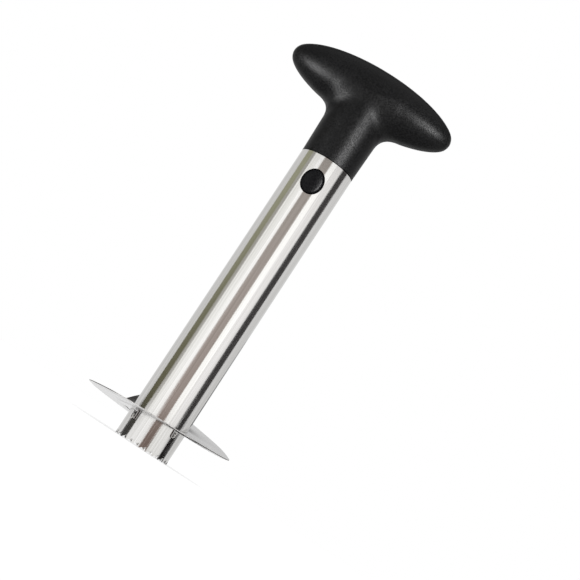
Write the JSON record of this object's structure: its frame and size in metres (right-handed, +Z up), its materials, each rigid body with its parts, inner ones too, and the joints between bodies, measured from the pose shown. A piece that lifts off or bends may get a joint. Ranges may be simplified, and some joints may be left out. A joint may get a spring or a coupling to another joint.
{
  "type": "pineapple slicer",
  "caption": "Hand corer and slicer: toothed steel tube with a spiral slicing blade and a pull-off T handle released by an oval button.",
  "frame": {"origin": "centre of the circle of tooth tips, on the surface that the tool stands on", "axes": "+Z up along the tube to the handle, +X along the handle's bar, -Y is the release button's side"},
  "size_m": [0.1016, 0.085, 0.2458],
  "materials": {
    "tube_steel": "brushed along its length",
    "blade_steel": "polished sheet",
    "weld_steel": "rough weld",
    "screw_steel": "plain",
    "black_plastic": "fine spark texture",
    "button_plastic": "satin"
  },
  "bodies": {
    "corer": {"corer_tube": "tube_steel", "slicing_blade": "blade_steel", "weld_bead_front_left": "weld_steel", "weld_bead_front_right": "weld_steel", "weld_bead_rear_right": "weld_steel", "weld_bead_rear": "weld_steel"},
    "handle": {"handle_front_shell": "black_plastic", "handle_rear_shell": "black_plastic", "handle_screw_left": "screw_steel", "handle_screw_right": "screw_steel", "handle_screw_middle": "screw_steel", "handle_stem": "black_plastic", "stem_pin": "screw_steel", "latch_screw": "screw_steel"},
    "latch": {"release_latch": "button_plastic"}
  },
  "joints": [
    {"name": "handle_lift", "type": "slide", "parent": "corer", "child": "handle", "axis": [0, 0, 1], "range_m": [0, 0.06], "deforming": ["release_latch"]},
    {"name": "latch_press", "type": "hinge", "parent": "handle", "child": "latch", "pos_m": [0, -0.00861, 0.1438], "axis": [-1, 0, 0], "range_deg": [0, 5.7], "stiffness_Nm_per_rad": 1.2, "springref_deg": -2.86}
  ]
}
